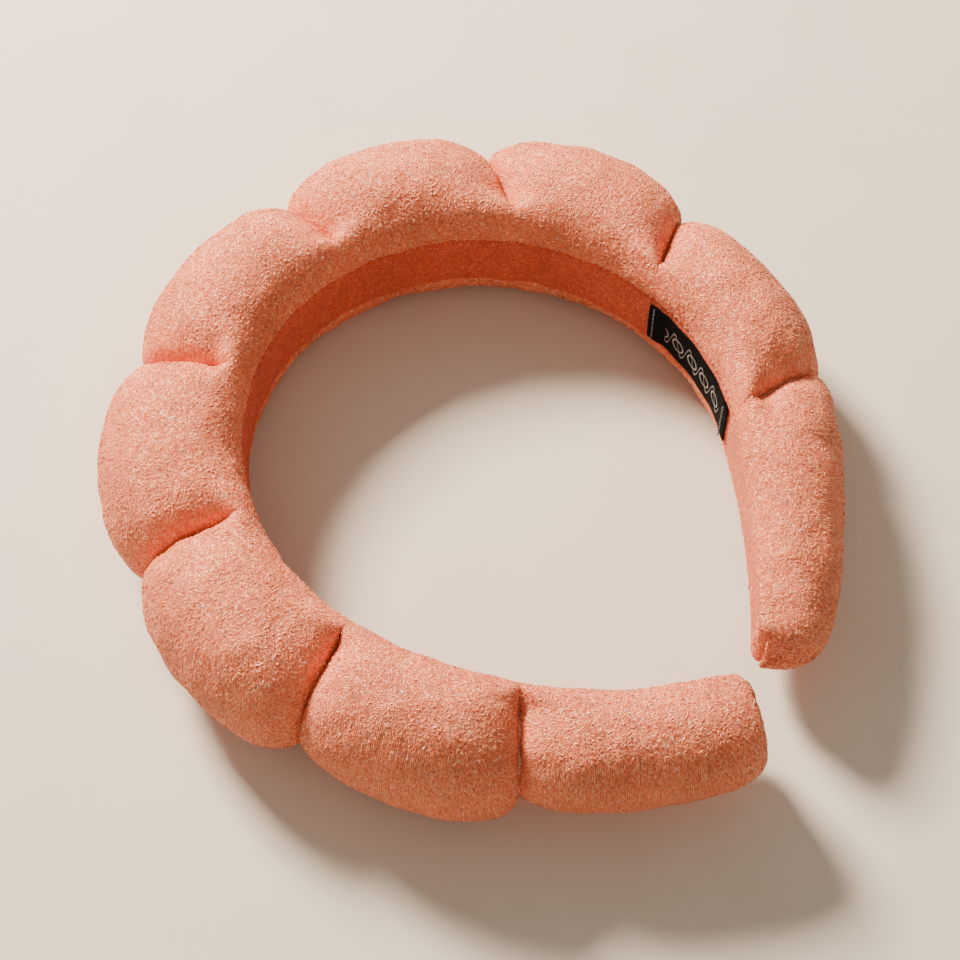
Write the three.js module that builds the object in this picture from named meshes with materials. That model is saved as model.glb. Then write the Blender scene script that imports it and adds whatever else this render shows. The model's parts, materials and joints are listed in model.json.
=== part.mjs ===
// A padded spa headband lying on its side: a springy C-shaped hoop inside a velour tube that is
// stuffed and tied off into puffs. Millimetres, +Z up, the crown towards +Y and the gap towards -Y.
import * as THREE from 'three';

// ---- Driving dimensions ---------------------------------------------------------------------

// The puffs, from the tip of the left arm over the crown to the tip of the right arm. length runs
// along the inner face, turn is how far that face bends, in degrees, depth is how far the puff
// stands outwards, and taper is the share of depth and height lost by its outer end.
const puffs = [
  { name: 'left_4', length: 58, turn: 28, depth: 28, halfHeight: 16, taper: 0.13 },
  { name: 'left_3', length: 44, turn: 23.5, depth: 33, halfHeight: 21, taper: 0 },
  { name: 'left_2', length: 40, turn: 34, depth: 37, halfHeight: 22, taper: 0 },
  { name: 'left_1', length: 42, turn: 35.5, depth: 38, halfHeight: 22, taper: 0 },
  { name: 'crown', length: 45, turn: 44.5, depth: 36, halfHeight: 22, taper: 0 },
  { name: 'right_1', length: 47, turn: 42.5, depth: 37, halfHeight: 22, taper: 0 },
  { name: 'right_2', length: 40, turn: 33.5, depth: 36, halfHeight: 22, taper: 0 },
  { name: 'right_3', length: 44, turn: 37, depth: 31, halfHeight: 21, taper: 0 },
  { name: 'right_4', length: 67, turn: 16, depth: 31, halfHeight: 18, taper: 0.4 },
];
const crown = puffs.findIndex((puff) => puff.name === 'crown');

// The pinched creases between neighbours, in the same order. skew is how far the pinch leans from
// square across the tube, in degrees; depth and halfHeight are the pinched tube's own size.
const creases = [
  { skew: -9, depth: 23, halfHeight: 13.5 },
  { skew: -5, depth: 27, halfHeight: 14 },
  { skew: 2, depth: 28, halfHeight: 14 },
  { skew: 2, depth: 28, halfHeight: 14 },
  { skew: -7, depth: 28, halfHeight: 14 },
  { skew: -26, depth: 28, halfHeight: 14 },
  { skew: -24, depth: 27, halfHeight: 14 },
  { skew: -25, depth: 25, halfHeight: 14 },
];
// How far each crease opens, in degrees, counted outwards from the crown.
const opening = [8, 7, 5, 3];

const restFlat = 1.0; // how much the fullest puffs are flattened where they lie on the table
const coverWall = 1.5; // velour with its backing
const liningThickness = 1.2;
const liningHalfWidth = 9;
const hoopThickness = 2.0;
const hoopHalfWidth = 7.5;
const gap = 0.3; // between pieces that touch
const foamGap = 0.4;
const stubLength = 2.0; // the tied length of tube on the crown side of a crease
const threadRadius = 0.5;
const openingMargin = 0.6; // degrees left between the pieces at a crease's limit
const swellPower = 2.2; // how quickly a puff fills out from its pinched ends
const tipRounding = 6; // the same for the blunt end of an arm
const tipShare = 0.7; // share of the size left at the very tip
const tipShoulder = 1.4; // how far back from the tip its rounding is steepest
const cornerShare = 0.42; // where along its depth a puff is fullest
const tipFoldDepth = 4; // how far the turned-in end reaches into the tube
const tipFoldCrown = 1.5; // how far its middle domes outwards
const tipFoldFlat = 0.8; // the dome's flat top, as a share of the tube's width
const tipFoldGap = 0.5;
const tipCorner = 5; // how far the inner face is rounded away at the very tip
const hoopTipStop = 8; // the hoop ends this far short of the tube's tip
const faceShare = 0.85; // the flat inner face is never more than this share of the tube's height
const stuffedShare = 0.9; // how much of a puff's length holds stuffing
const halfSteps = [1, 0.93, 0.75, 0.35]; // where half a puff is measured: 1 is its end, 0 its middle
const label = {
  puff: 'right_3', length: 40, width: 15, thickness: 0.6,
  stitchInset: 1.5, stitchWidth: 1.0, stitchThickness: 0.5, stitchMargin: 0.5,
};

// ---- Working values -------------------------------------------------------------------------

const radians = THREE.MathUtils.degToRad;
const hair = 1e-6; // for comparing lengths
const fullest = Math.max(...puffs.map((puff) => puff.halfHeight));
const centreHeight = fullest - restFlat; // the tube's middle above the table
const hoopInner = liningThickness + gap;
const hoopOuter = hoopInner + hoopThickness;
const hingeDepth = (hoopInner + hoopOuter) / 2; // the hoop bends about its own middle

// ---- The hoop's line ------------------------------------------------------------------------

// One arc per puff, each starting where the one nearer the crown ends.
function layArcs() {
  const arcs = new Array(puffs.length);
  const half = puffs[crown].length / 2;
  const start = { x: 0, y: 0, heading: 0 };
  arcs[crown] = { from: -half, to: half, anchor: 0, start, bend: bendOf(puffs[crown]) };
  for (const side of [1, -1]) {
    for (let i = crown + side; i >= 0 && i < puffs.length; i += side) {
      const near = arcs[i - side];
      const edge = side > 0 ? near.to : near.from;
      const far = edge + side * puffs[i].length;
      arcs[i] = {
        from: Math.min(edge, far), to: Math.max(edge, far),
        anchor: edge, start: alongArc(near, edge), bend: bendOf(puffs[i]),
      };
    }
  }
  return arcs;
}

// The radius of a puff's inner face.
function bendOf({ length, turn }) {
  return length / radians(turn);
}

function alongArc(arc, distance) {
  const heading = arc.start.heading + (distance - arc.anchor) / arc.bend;
  return {
    x: arc.start.x + (Math.sin(heading) - Math.sin(arc.start.heading)) * arc.bend,
    y: arc.start.y + (Math.cos(heading) - Math.cos(arc.start.heading)) * arc.bend,
    heading,
  };
}

const arcs = layArcs();

// A point of the band: distance is measured round the inner face from the crown, along is a step
// straight on from there, outward is out from the inner face and up is up from the tube's middle.
function place(distance, along, outward, up) {
  const arc = arcs.find((one) => distance <= one.to) ?? arcs[arcs.length - 1];
  const { x, y, heading } = alongArc(arc, distance);
  const cos = Math.cos(heading);
  const sin = Math.sin(heading);
  return new THREE.Vector3(x + sin * outward + cos * along, y + cos * outward - sin * along,
    centreHeight + up);
}

// ---- Puff shape -----------------------------------------------------------------------------

// How far an end face stands from its crease at a given depth. The face on the crown side follows
// the skewed pinch; the one beyond it leans back too, so that the crease can open.
function endFace(creaseIndex, puffIndex) {
  if (creaseIndex < 0 || creaseIndex >= creases.length) {
    return () => 0;
  }
  const side = creaseIndex >= crown ? 1 : -1;
  const beyond = side > 0 ? puffIndex > creaseIndex : puffIndex <= creaseIndex;
  const order = side > 0 ? creaseIndex - crown : crown - 1 - creaseIndex;
  const skew = radians(creases[creaseIndex].skew);
  const lean = beyond ? side * radians(opening[order] + openingMargin) : 0;
  const step = side * (beyond ? 1 : -1) * gap / 2;
  return (outward) => {
    const reach = outward - hingeDepth;
    const leaned = reach > 0 ? Math.tan(skew + lean) : Math.tan(skew);
    return step + leaned * reach;
  };
}

// A blunt end is measured where the pieces inside it stop.
function endSteps(neck, length) {
  if (neck) return halfSteps;
  const stops = [tipShoulder, tipFoldDepth + gap, hoopTipStop].map((back) => 1 - 2 * back / length);
  return [1, ...stops, halfSteps.at(-1)];
}

// The puff's cross-sections: t runs from 0 to 1 between its end faces, and depth and halfHeight
// are the tube's size there.
function sectionsOf(index) {
  const puff = puffs[index];
  const low = creases[index - 1];
  const high = creases[index];
  const stub = stubLength / puff.length;
  const start = low && index <= crown ? stub : 0;
  const end = high && index >= crown ? 1 - stub : 1;
  const sections = [];
  const lowSteps = endSteps(low, puff.length).map((step) => -step);
  const highSteps = endSteps(high, puff.length).toReversed();
  for (const x of [...lowSteps, 0, ...highSteps]) {
    const neck = x < 0 ? low : high;
    const outwards = index < crown ? (1 - x) / 2 : (1 + x) / 2;
    const size = 1 - puff.taper * outwards;
    const swell = Math.sqrt(1 - Math.abs(x) ** (neck ? swellPower : tipRounding));
    const fromTip = neck ? Infinity : (1 - Math.abs(x)) / 2 * puff.length;
    const rounded = Math.max(0, 1 - fromTip / (tipFoldDepth + gap));
    const pinched = neck ?? {
      depth: puff.depth * size * tipShare, halfHeight: puff.halfHeight * size * tipShare };
    sections.push({
      x,
      fromTip,
      floor: tipCorner * rounded ** 2,
      t: THREE.MathUtils.lerp(start, end, (1 + x) / 2),
      depth: THREE.MathUtils.lerp(pinched.depth, puff.depth * size, swell),
      halfHeight: THREE.MathUtils.lerp(pinched.halfHeight, puff.halfHeight * size, swell),
    });
  }
  if (start > 0) sections.unshift({ ...sections[0], t: 0 });
  if (end < 1) sections.push({ ...sections[sections.length - 1], t: 1 });
  return sections;
}

// The D-shaped outline, from the bottom edge of the inner face over the outside to its top edge.
// inset is the distance in from the puff's skin, and inner the same on the flat inner side.
const outlineAngles = [-180, -152, -126, -102, -78, -52, -26, 0, 26, 52, 78, 102, 126, 152, 180];

function faceHalfWidth(halfHeight) {
  return Math.min(liningHalfWidth, halfHeight * faceShare);
}

function dOutline({ depth, halfHeight, floor }, inset, inner) {
  const middle = THREE.MathUtils.lerp(floor, depth, cornerShare);
  const back = middle - floor - inner;
  const front = depth - inset - middle;
  const tall = halfHeight - inset;
  const face = Math.min(faceHalfWidth(halfHeight), tall);
  const lowest = -centreHeight + inset;
  return outlineAngles.map((degrees) => {
    const cos = Math.cos(radians(degrees));
    const sin = Math.sin(radians(degrees));
    const outward = middle + (cos > 0 ? front : back) * cos;
    const corner = Math.sign(degrees) * (face + (tall - face) * Math.abs(sin));
    return new THREE.Vector2(outward, Math.max(cos > 0 ? tall * sin : corner, lowest));
  });
}

// ---- Mesh helpers ---------------------------------------------------------------------------

// A closed solid through a row of rings of the same number of points.
function loft(outlines, rings) {
  const count = outlines[0].length;
  const positions = rings.flat().flatMap((point) => point.toArray());
  const index = [];
  for (let r = 0; r + 1 < rings.length; r += 1) {
    for (let i = 0; i < count; i += 1) {
      const a = r * count + i;
      const b = r * count + (i + 1) % count;
      index.push(a, b, b + count, a, b + count, a + count);
    }
  }
  const last = (rings.length - 1) * count;
  for (const [a, b, c] of THREE.ShapeUtils.triangulateShape(outlines[0], [])) index.push(a, c, b);
  for (const [a, b, c] of THREE.ShapeUtils.triangulateShape(outlines.at(-1), [])) {
    index.push(last + a, last + b, last + c);
  }
  const geometry = new THREE.BufferGeometry();
  geometry.setAttribute('position', new THREE.Float32BufferAttribute(positions, 3));
  geometry.setIndex(index);
  geometry.computeVertexNormals();
  return geometry;
}

// Lofts outlines between a puff's two end faces. Each section gives t and its outline.
function loftPuff(index, sections) {
  const arc = arcs[index];
  const lowFace = endFace(index - 1, index);
  const highFace = endFace(index, index);
  const rings = sections.map(({ t, outline }) => outline.map((point) => {
    const along = THREE.MathUtils.lerp(lowFace(point.x), highFace(point.x), t);
    return place(THREE.MathUtils.lerp(arc.from, arc.to, t), along, point.x, point.y);
  }));
  return loft(sections.map((section) => section.outline), rings);
}

function rectangle(inner, outer, halfWidth) {
  return [
    new THREE.Vector2(inner, -halfWidth), new THREE.Vector2(outer, -halfWidth),
    new THREE.Vector2(outer, halfWidth), new THREE.Vector2(inner, halfWidth),
  ];
}

// A flat strip along the inside of a puff, which stops short of a blunt tip by tipStop.
function stripGeometry(index, inner, outer, halfWidth, tipStop) {
  const reached = sectionsOf(index).filter(({ fromTip }) => fromTip > tipStop - hair);
  return loftPuff(index, reached.map(({ t, halfHeight }) => (
    { t, outline: rectangle(inner, outer, Math.min(halfWidth, faceHalfWidth(halfHeight) - gap)) })));
}

// ---- Pieces ---------------------------------------------------------------------------------

const velour = { color: 0xeb8c6e, roughness: 0.95, metalness: 0 };
const materials = {
  cover: new THREE.MeshStandardMaterial(velour),
  lining: new THREE.MeshStandardMaterial({ ...velour, color: 0xc9623f }),
  foam: new THREE.MeshStandardMaterial({ color: 0xf2ead8, roughness: 0.9, metalness: 0 }),
  hoop: new THREE.MeshStandardMaterial({ color: 0xe9e6df, roughness: 0.45, metalness: 0 }),
  thread: new THREE.MeshStandardMaterial({ color: 0xd9744f, roughness: 0.7, metalness: 0 }),
  label: new THREE.MeshStandardMaterial({ color: 0x1d1b1c, roughness: 0.8, metalness: 0 }),
};

const headband = new THREE.Group();

function add(name, geometry, material) {
  const mesh = new THREE.Mesh(geometry, material);
  mesh.name = name;
  headband.add(mesh);
}

// The velour tube: a shell round the foam, open along the inner face, where the lining is sewn in.
function coverGeometry(index) {
  return loftPuff(index, sectionsOf(index).map((section) => {
    const skin = dOutline(section, 0, 0);
    const inside = dOutline(section, coverWall, coverWall);
    return { t: section.t, outline: [...skin, ...inside.reverse()] };
  }));
}

// The stuffing fills the fuller part of the puff, from the hoop outwards.
function foamGeometry(index) {
  const inset = coverWall + foamGap;
  const filled = sectionsOf(index).filter(({ x, fromTip }) => (
    Math.abs(x) < stuffedShare && fromTip > hoopTipStop - hair));
  return loftPuff(index, filled.map((section) => (
    { t: section.t, outline: dOutline(section, inset, hoopOuter + foamGap) })));
}

// The thread that ties a crease: round the stub on the crown side, its ends tucked at the lining.
function threadGeometry(creaseIndex) {
  const crease = creases[creaseIndex];
  const side = creaseIndex >= crown ? 1 : -1;
  const owner = side > 0 ? creaseIndex : creaseIndex + 1;
  const face = endFace(creaseIndex, owner);
  const distance = side > 0 ? arcs[owner].to : arcs[owner].from;
  const stand = gap + threadRadius;
  const outline = dOutline({ ...crease, floor: 0 }, -stand, -stand).slice(2, -2);
  const path = new THREE.CatmullRomCurve3(outline.map((point) => (
    place(distance, face(point.x) - side * stubLength / 2, point.x, point.y))));
  const section = new THREE.Shape().absarc(0, 0, threadRadius, 0, Math.PI * 2);
  return new THREE.ExtrudeGeometry(section, { steps: 16, curveSegments: 6, extrudePath: path });
}

// The turned-in end of the tube: it follows the cover's inside and closes it with a low dome.
function tipFoldGeometry(index) {
  const inset = coverWall + tipFoldGap;
  const all = sectionsOf(index);
  const fromEnd = (index === 0 ? all : all.toReversed()).slice(0, 3);
  const rings = fromEnd.map((section) => (
    { back: Math.min(section.fromTip, tipFoldDepth), outline: dOutline(section, inset, inset) }));
  const middle = new THREE.Vector2((fromEnd[0].depth + fromEnd[0].floor) / 2, 0);
  const dome = rings[0].outline.map((point) => point.clone().lerp(middle, 1 - tipFoldFlat));
  const sections = [{ back: -tipFoldCrown, outline: dome }, ...rings].map(({ back, outline }) => {
    const share = back / puffs[index].length;
    return { t: index === 0 ? share : 1 - share, outline };
  });
  return loftPuff(index, index === 0 ? sections : sections.reverse());
}

// A flat strip on the lining of the labelled puff, between two distances from that puff's middle.
function labelStrip(from, to, inner, outer, width) {
  const index = puffs.findIndex((puff) => puff.name === label.puff);
  const outline = rectangle(-outer, -inner, width / 2);
  const steps = to - from > puffs[index].length / 4 ? 6 : 1;
  const sections = Array.from({ length: steps + 1 }, (_, i) => {
    const distance = THREE.MathUtils.lerp(from, to, i / steps);
    return { t: 0.5 + distance / puffs[index].length, outline };
  });
  return loftPuff(index, sections);
}

puffs.forEach(({ name }, index) => {
  add(`cover_${name}`, coverGeometry(index), materials.cover);
  add(`foam_${name}`, foamGeometry(index), materials.foam);
  add(`hoop_${name}`, stripGeometry(index, hoopInner, hoopOuter, hoopHalfWidth, hoopTipStop), materials.hoop);
  add(`lining_${name}`, stripGeometry(index, 0, liningThickness, liningHalfWidth, tipFoldDepth + gap),
    materials.lining);
});

creases.forEach((_, index) => {
  const owner = index >= crown ? puffs[index] : puffs[index + 1];
  add(`tie_thread_${owner.name}${owner.name === 'crown' ? (index < crown ? '_left' : '_right') : ''}`,
    threadGeometry(index), materials.thread);
});

add('end_fold_left', tipFoldGeometry(0), materials.cover);
add('end_fold_right', tipFoldGeometry(puffs.length - 1), materials.cover);

const labelOuter = gap + label.thickness;
const stitchOuter = labelOuter + gap + label.stitchThickness;
const labelHalf = label.length / 2;
add('label', labelStrip(-labelHalf, labelHalf, gap, labelOuter, label.width), materials.label);
for (const [name, side] of [['label_stitch_near', -1], ['label_stitch_far', 1]]) {
  const middle = side * (labelHalf - label.stitchInset);
  const half = label.stitchWidth / 2;
  const width = label.width - 2 * label.stitchMargin;
  add(name, labelStrip(middle - half, middle + half, labelOuter + gap, stitchOuter, width),
    materials.thread);
}

// The frame's origin is under the middle of the whole band, on the table.
const bounds = new THREE.Box3().setFromObject(headband);
const centre = bounds.getCenter(new THREE.Vector3());
headband.position.set(-centre.x, -centre.y, -bounds.min.z);

export default headband;
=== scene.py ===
"""Looks of a padded spa headband: stuffed velour puffs tied off along a springy hoop, a flat velour
lining sewn inside, and a plain woven label. Lengths are millimetres until a mesh is made."""
import json
import math
import random

import bpy
import numpy as np
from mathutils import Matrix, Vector

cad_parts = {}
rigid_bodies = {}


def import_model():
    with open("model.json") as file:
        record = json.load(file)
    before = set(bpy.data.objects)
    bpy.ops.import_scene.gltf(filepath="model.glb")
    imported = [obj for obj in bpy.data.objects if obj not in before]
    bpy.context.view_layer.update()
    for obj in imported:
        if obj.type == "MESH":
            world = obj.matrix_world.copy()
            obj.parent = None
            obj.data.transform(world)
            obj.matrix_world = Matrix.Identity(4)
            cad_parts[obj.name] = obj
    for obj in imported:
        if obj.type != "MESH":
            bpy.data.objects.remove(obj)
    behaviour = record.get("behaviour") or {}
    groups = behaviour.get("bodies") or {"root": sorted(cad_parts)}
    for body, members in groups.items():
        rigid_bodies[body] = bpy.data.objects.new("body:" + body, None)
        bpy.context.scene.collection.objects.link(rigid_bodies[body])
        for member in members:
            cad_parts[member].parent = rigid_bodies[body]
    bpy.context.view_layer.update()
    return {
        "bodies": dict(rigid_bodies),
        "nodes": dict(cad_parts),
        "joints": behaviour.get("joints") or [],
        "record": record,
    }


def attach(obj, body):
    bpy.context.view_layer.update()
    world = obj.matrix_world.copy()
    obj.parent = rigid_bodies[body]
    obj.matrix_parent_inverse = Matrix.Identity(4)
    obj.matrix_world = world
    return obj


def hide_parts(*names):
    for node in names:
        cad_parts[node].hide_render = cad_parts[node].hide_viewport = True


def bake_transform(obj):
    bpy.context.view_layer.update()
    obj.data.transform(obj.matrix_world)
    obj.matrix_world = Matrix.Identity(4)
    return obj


# ---- Driving sizes ---------------------------------------------------------------------------
# From the tip of the left arm over the crown to the tip of the right arm: length along the inner
# face, turn of that face in degrees, depth outwards, half height, and taper towards the outer end.
PUFFS = [
    ("left_4", 58, 28, 28, 16, 0.13),
    ("left_3", 44, 23.5, 33, 21, 0),
    ("left_2", 40, 34, 37, 22, 0),
    ("left_1", 42, 35.5, 38, 22, 0),
    ("crown", 45, 44.5, 36, 22, 0),
    ("right_1", 47, 42.5, 37, 22, 0),
    ("right_2", 40, 33.5, 36, 22, 0),
    ("right_3", 44, 37, 31, 21, 0),
    ("right_4", 67, 16, 31, 18, 0.4),
]
# The pinched creases between them: lean of the pinch in degrees, pinched depth and half height.
CREASES = [(-9, 23, 13.5), (-5, 27, 14), (2, 28, 14), (2, 28, 14),
           (-7, 28, 14), (-26, 28, 14), (-24, 27, 14), (-25, 25, 14)]
NAMES = [puff[0] for puff in PUFFS]
CROWN = NAMES.index("crown")

REST_FLAT = 1.0  # how much the fullest puffs are flattened by the table
CENTRE = max(puff[4] for puff in PUFFS) - REST_FLAT  # the tube's middle above the table
LINING_HALF = 9.0
LINING_DROP = 2.4  # the lining's lower edge is turned under the band
HINGE_DEPTH = 2.5  # the hoop's own middle, out from the lining
FACE_SHARE = 0.85
CORNER_SHARE = 0.42  # where along its depth a puff is fullest
SWELL_POWER = 2.8
TIE_BITE = 3.5  # how much further the thread bites into the top and bottom of the band
TIP_POWER = 6
TIP_SHARE = 0.8
TIP_TUCK_LEVEL = -0.08  # height of the tucked line, as a share of the tip's height above its middle
TIP_RISE = 3.4  # how far the turned-in end bulges
TIP_CORNER = 3.0
LINING_STOP = 8.0  # how far short of a tip the lining is tucked in
MM = 0.001

BARE_ROWS = 20  # rows of the sheet at a tip that the lining doesn't reach
SKIN_ROUND, SKIN_ALONG = 88, 44  # cells of the velour sheet before it is refined
SIM_SCALE = 12.0  # the sheets are simulated this many times larger
SIM_CAP = 1.6  # the furthest the stuffing may push a point of the velour
SIM_FRAMES = 16
TIP_HELD_ROWS = 9  # rows of the sheet at a tip that the stuffing moves only a little
TIP_HOLD = 0.85

PILE_DENSITY = 3.6  # strands to a square millimetre
STRAND_ROWS = 4  # points along a strand
STRAND_HALF_WIDTH = 0.115
STRAND_LENGTH = (0.75, 1.6)
LINING_PILE_DENSITY = 4.0
LINING_STRAND_SIZE = 0.75  # of a strand on the cover
BEHIND_CELLS = 16  # cells of each ring of velour that pass behind the lining
LAST = len(PUFFS) - 1  # the puff at the tip of the right arm
LABEL_PUFF = "right_3"
LABEL_LENGTH = 40.0
LABEL_WIDTH = 15.0


# ---- The hoop's line -------------------------------------------------------------------------

def lay_arcs():
    """One arc for each puff, each starting where its neighbour nearer the crown ends."""
    arcs = [None] * len(PUFFS)
    half = PUFFS[CROWN][1] / 2
    arcs[CROWN] = {"low": -half, "high": half, "anchor": 0.0, "start": (0.0, 0.0, 0.0),
                   "bend": bend_of(CROWN)}
    for side in (1, -1):
        i = CROWN + side
        while 0 <= i < len(PUFFS):
            near = arcs[i - side]
            edge = near["high"] if side > 0 else near["low"]
            far = edge + side * PUFFS[i][1]
            arcs[i] = {"low": min(edge, far), "high": max(edge, far), "anchor": edge,
                       "start": along_arc(near, edge), "bend": bend_of(i)}
            i += side
    return arcs


def bend_of(i):
    return PUFFS[i][1] / math.radians(PUFFS[i][2])


def along_arc(arc, distance):
    x, y, heading = arc["start"]
    bend = arc["bend"]
    turned = heading + (distance - arc["anchor"]) / bend
    return (x + (np.sin(turned) - math.sin(heading)) * bend,
            y + (np.cos(turned) - math.cos(heading)) * bend, turned)


def place(i, distance, along, outward, up):
    """Points near puff i's arc: distance round the inner face, a step straight on, out and up."""
    x, y, heading = along_arc(ARCS[i], distance)
    cos, sin = np.cos(heading), np.sin(heading)
    return np.stack(np.broadcast_arrays(
        x + sin * outward + cos * along + SHIFT[0],
        y + cos * outward - sin * along + SHIFT[1],
        CENTRE + up), axis=-1)


def frame_shift(joints):
    """Where the hoop's line starts in the frame, from the pivot of the crown's right-hand joint."""
    pivot = next(j for j in joints if j["name"] == "right_flex_1")["pos_m"]
    bare = place(CROWN, ARCS[CROWN]["high"], 0.0, HINGE_DEPTH, 0.0)
    return pivot[0] / MM - bare[0], pivot[1] / MM - bare[1]


# ---- Puff shape ------------------------------------------------------------------------------

def smooth(x, low, high):
    t = np.clip((x - low) / (high - low), 0, 1)
    return t * t * (3 - 2 * t)


def end_face(crease):
    """How far a puff's end stands from its crease at a given depth."""
    if not 0 <= crease < len(CREASES):
        return lambda outward: outward * 0.0
    skew = math.tan(math.radians(CREASES[crease][0]))
    return lambda outward: skew * (outward - HINGE_DEPTH)


def d_outline(degrees, depth, half, floor=0.0):
    """The tube's section: a flat inner side with round corners, and a half ellipse outside."""
    angle = np.radians(degrees)
    cos, sin = np.cos(angle), np.sin(angle)
    middle = floor + (depth - floor) * CORNER_SHARE
    face = min(LINING_HALF, half * FACE_SHARE)
    outer = middle + (depth - middle) * cos
    inner = middle + (middle - floor) * cos
    corner = np.sign(degrees) * (face + (half - face) * np.abs(sin))
    return np.where(cos > 0, outer, inner), np.where(cos > 0, half * sin, corner)


def even_angles(count, depth, half):
    """Angles that divide the section evenly."""
    fine = np.linspace(-180, 180, 1441)
    outward, up = d_outline(fine, depth, half)
    run = np.concatenate([[0], np.cumsum(np.hypot(np.diff(outward), np.diff(up)))])
    return np.interp(np.linspace(0, run[-1], count), run, fine)


def size_at_crease(i, crease):
    """Depth and half height that puff i would have at a crease if it weren't tied."""
    outer_end = crease == i - 1 if i < CROWN else crease == i
    size = 1 - PUFFS[i][5] * (1 if outer_end else 0)
    return PUFFS[i][3] * size, PUFFS[i][4] * size


def neck_section(crease, degrees):
    """The section at a crease. The thread doesn't reach the sewn inner edge, so there the two puffs
    run on into each other."""
    sizes = [size_at_crease(i, crease) for i in (crease, crease + 1)]
    depth, half = (sum(pair) / 2 for pair in zip(*sizes))
    loose = d_outline(degrees, depth, half)
    tied = d_outline(degrees, CREASES[crease][1], CREASES[crease][2] - TIE_BITE)
    bite = smooth(loose[0], 0.08 * depth, 0.33 * depth)
    return [a + (b - a) * bite for a, b in zip(loose, tied)]


def puff_section(i, x, degrees):
    """Outward and up for every angle of puff i's section at x, from -1 to 1 along it."""
    _, length, _, full_depth, full_half, taper = PUFFS[i]
    neck_index = i - 1 if x < 0 else i
    neck = CREASES[neck_index] if 0 <= neck_index < len(CREASES) else None
    outwards = (1 - x) / 2 if i < CROWN else (1 + x) / 2
    size = 1 - taper * outwards
    full = d_outline(degrees, full_depth * size, full_half * size)
    if neck:
        swell = max(1 - abs(x) ** SWELL_POWER, 0) ** 0.5
        goal = neck_section(neck_index, degrees)
        return [b + (a - b) * swell for a, b in zip(full, goal)]
    swell = max(1 - abs(x) ** TIP_POWER, 0) ** 0.5
    share = TIP_SHARE + (1 - TIP_SHARE) * swell
    from_tip = (1 - abs(x)) / 2 * length
    floor = TIP_CORNER * max(0, 1 - from_tip / TIP_CORNER) ** 2
    return d_outline(degrees, full_depth * size * share, full_half * size * share, floor)


def gathers(seed, degrees, x, length):
    """Small tucks that run into a tied crease, as a step outwards."""
    rng = np.random.default_rng(seed)
    step = np.zeros_like(degrees)
    for waves in (16, 23, 31, 41):
        step = step + np.cos(np.radians(degrees) * waves / 2 + rng.uniform(0, 6.3)) * rng.uniform(.5, 1)
    reach = (1 - abs(x)) / 2 * length
    return step * 0.16 * math.exp(-(reach / 4.5) ** 1.4) * smooth(np.abs(reach), 0, 0.5)


def skin_grid(i):
    """Rings of points of puff i's velour, and how near each ring is to a tied crease."""
    _, length, _, depth, half, _ = PUFFS[i]
    arc = ARCS[i]
    flat = BEHIND_CELLS
    degrees = even_angles(SKIN_ROUND - flat + 1, depth, half)
    low, high = end_face(i - 1), end_face(i)
    rings, fold = [], []
    for step in np.linspace(-1, 1, SKIN_ALONG + 1):
        x = math.sin(math.pi / 2 * step)
        outward, up = puff_section(i, x, degrees)
        tied = 0 <= (i - 1 if x < 0 else i) < len(CREASES)
        if tied:
            tuck = gathers(3 * i + (x > 0), degrees, x, length)
            grow = tuck * smooth(outward, 3.0, 12.0)
            outward = outward + grow * np.cos(np.radians(degrees))
            up = up + grow * np.sin(np.radians(degrees))
        back = np.linspace(up[-1], up[0], flat + 1)[1:-1]
        from_tip = 99.0 if tied else (1 - abs(x)) / 2 * length
        hidden = 1.2 * smooth(from_tip, 7.0, 10.0)
        sink = outward[0] + hidden * np.minimum(1, 4 * (1 - np.abs(np.linspace(-1, 1, flat + 1)[1:-1])))
        outward, up = np.append(outward, sink), np.append(up, back)
        t = (1 + x) / 2
        lean = low(outward) * (1 - t) + high(outward) * t
        first = arc["low"] + (TIP_RISE if i == 0 else 0)
        last = arc["high"] - (TIP_RISE if i == LAST else 0)
        distance = first + (last - first) * t
        rings.append(place(i, distance, lean, outward, np.maximum(up, -CENTRE)))
        fold.append(0.75 * math.exp(-((1 - abs(x)) / 2 * length / 5.0) ** 2) if tied else 0.0)
    return np.array(rings), np.array(fold)


def close_tip(rings, fold, side):
    """Adds the turned-in end of an arm: two lips that meet in a tucked line."""
    edge = rings[0] if side < 0 else rings[-1]
    inner = rings[1] if side < 0 else rings[-2]
    middle = edge.mean(axis=0)
    ahead = (edge - inner).mean(axis=0)
    ahead[2] = 0
    ahead = ahead / np.linalg.norm(ahead)
    height = np.ptp(edge[:, 2])
    added = []
    for share in (0.93, 0.84, 0.73, 0.6, 0.46, 0.32, 0.18, 0.06):
        ring = middle + (edge - middle) * share
        level = (ring[:, 2] - middle[2]) / height - TIP_TUCK_LEVEL
        lip = 1 + 0.45 * smooth(-level, -0.04, 0.16)
        rise = TIP_RISE * math.sqrt(1 - share ** 2) * lip
        tuck = 1.3 * np.exp(-(level / 0.08) ** 2)
        added.append(ring + np.outer(rise - tuck * (1 - share ** 4), ahead))
    extra = np.array(added)
    if side < 0:
        return np.concatenate([extra[::-1], rings]), np.concatenate([np.zeros(len(extra)), fold])
    return np.concatenate([rings, extra]), np.concatenate([fold, np.zeros(len(extra))])


# ---- Mesh helpers ----------------------------------------------------------------------------

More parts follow.
